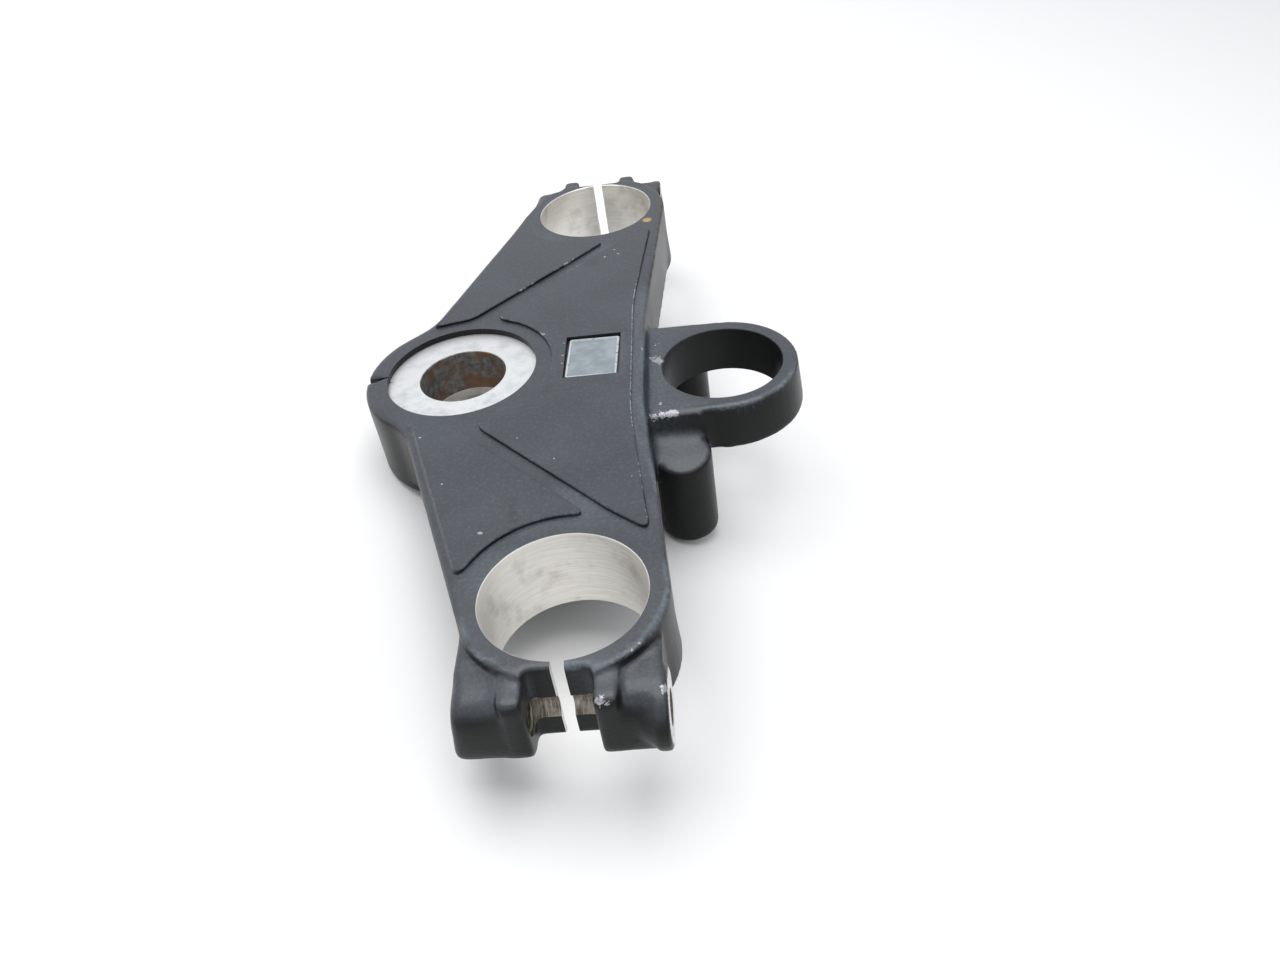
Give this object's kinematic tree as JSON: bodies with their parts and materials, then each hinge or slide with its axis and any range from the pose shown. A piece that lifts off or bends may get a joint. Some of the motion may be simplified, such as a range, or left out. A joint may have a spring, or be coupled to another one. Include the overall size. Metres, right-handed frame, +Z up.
{
  "type": "motorcycle triple clamp",
  "caption": "Cast aluminium top fork bridge with slit fork clamps, a stem boss, a lock ring, posts under it and a small plate let into its deck.",
  "frame": {"origin": "stem axis, in the plane of the stem nut's seat", "axes": "+Z up along the stem, +Y forward to the lock ring, +X to the right fork"},
  "size_m": [0.2802, 0.1403, 0.0475],
  "materials": {
    "painted_casting": "satin black paint on cast aluminium, bare and bright where machined",
    "plate_metal": "printed aluminium plate with a bright raised border"
  },
  "bodies": {
    "root": {"top_bridge": "painted_casting", "badge_plate": "plate_metal"}
  },
  "joints": []
}
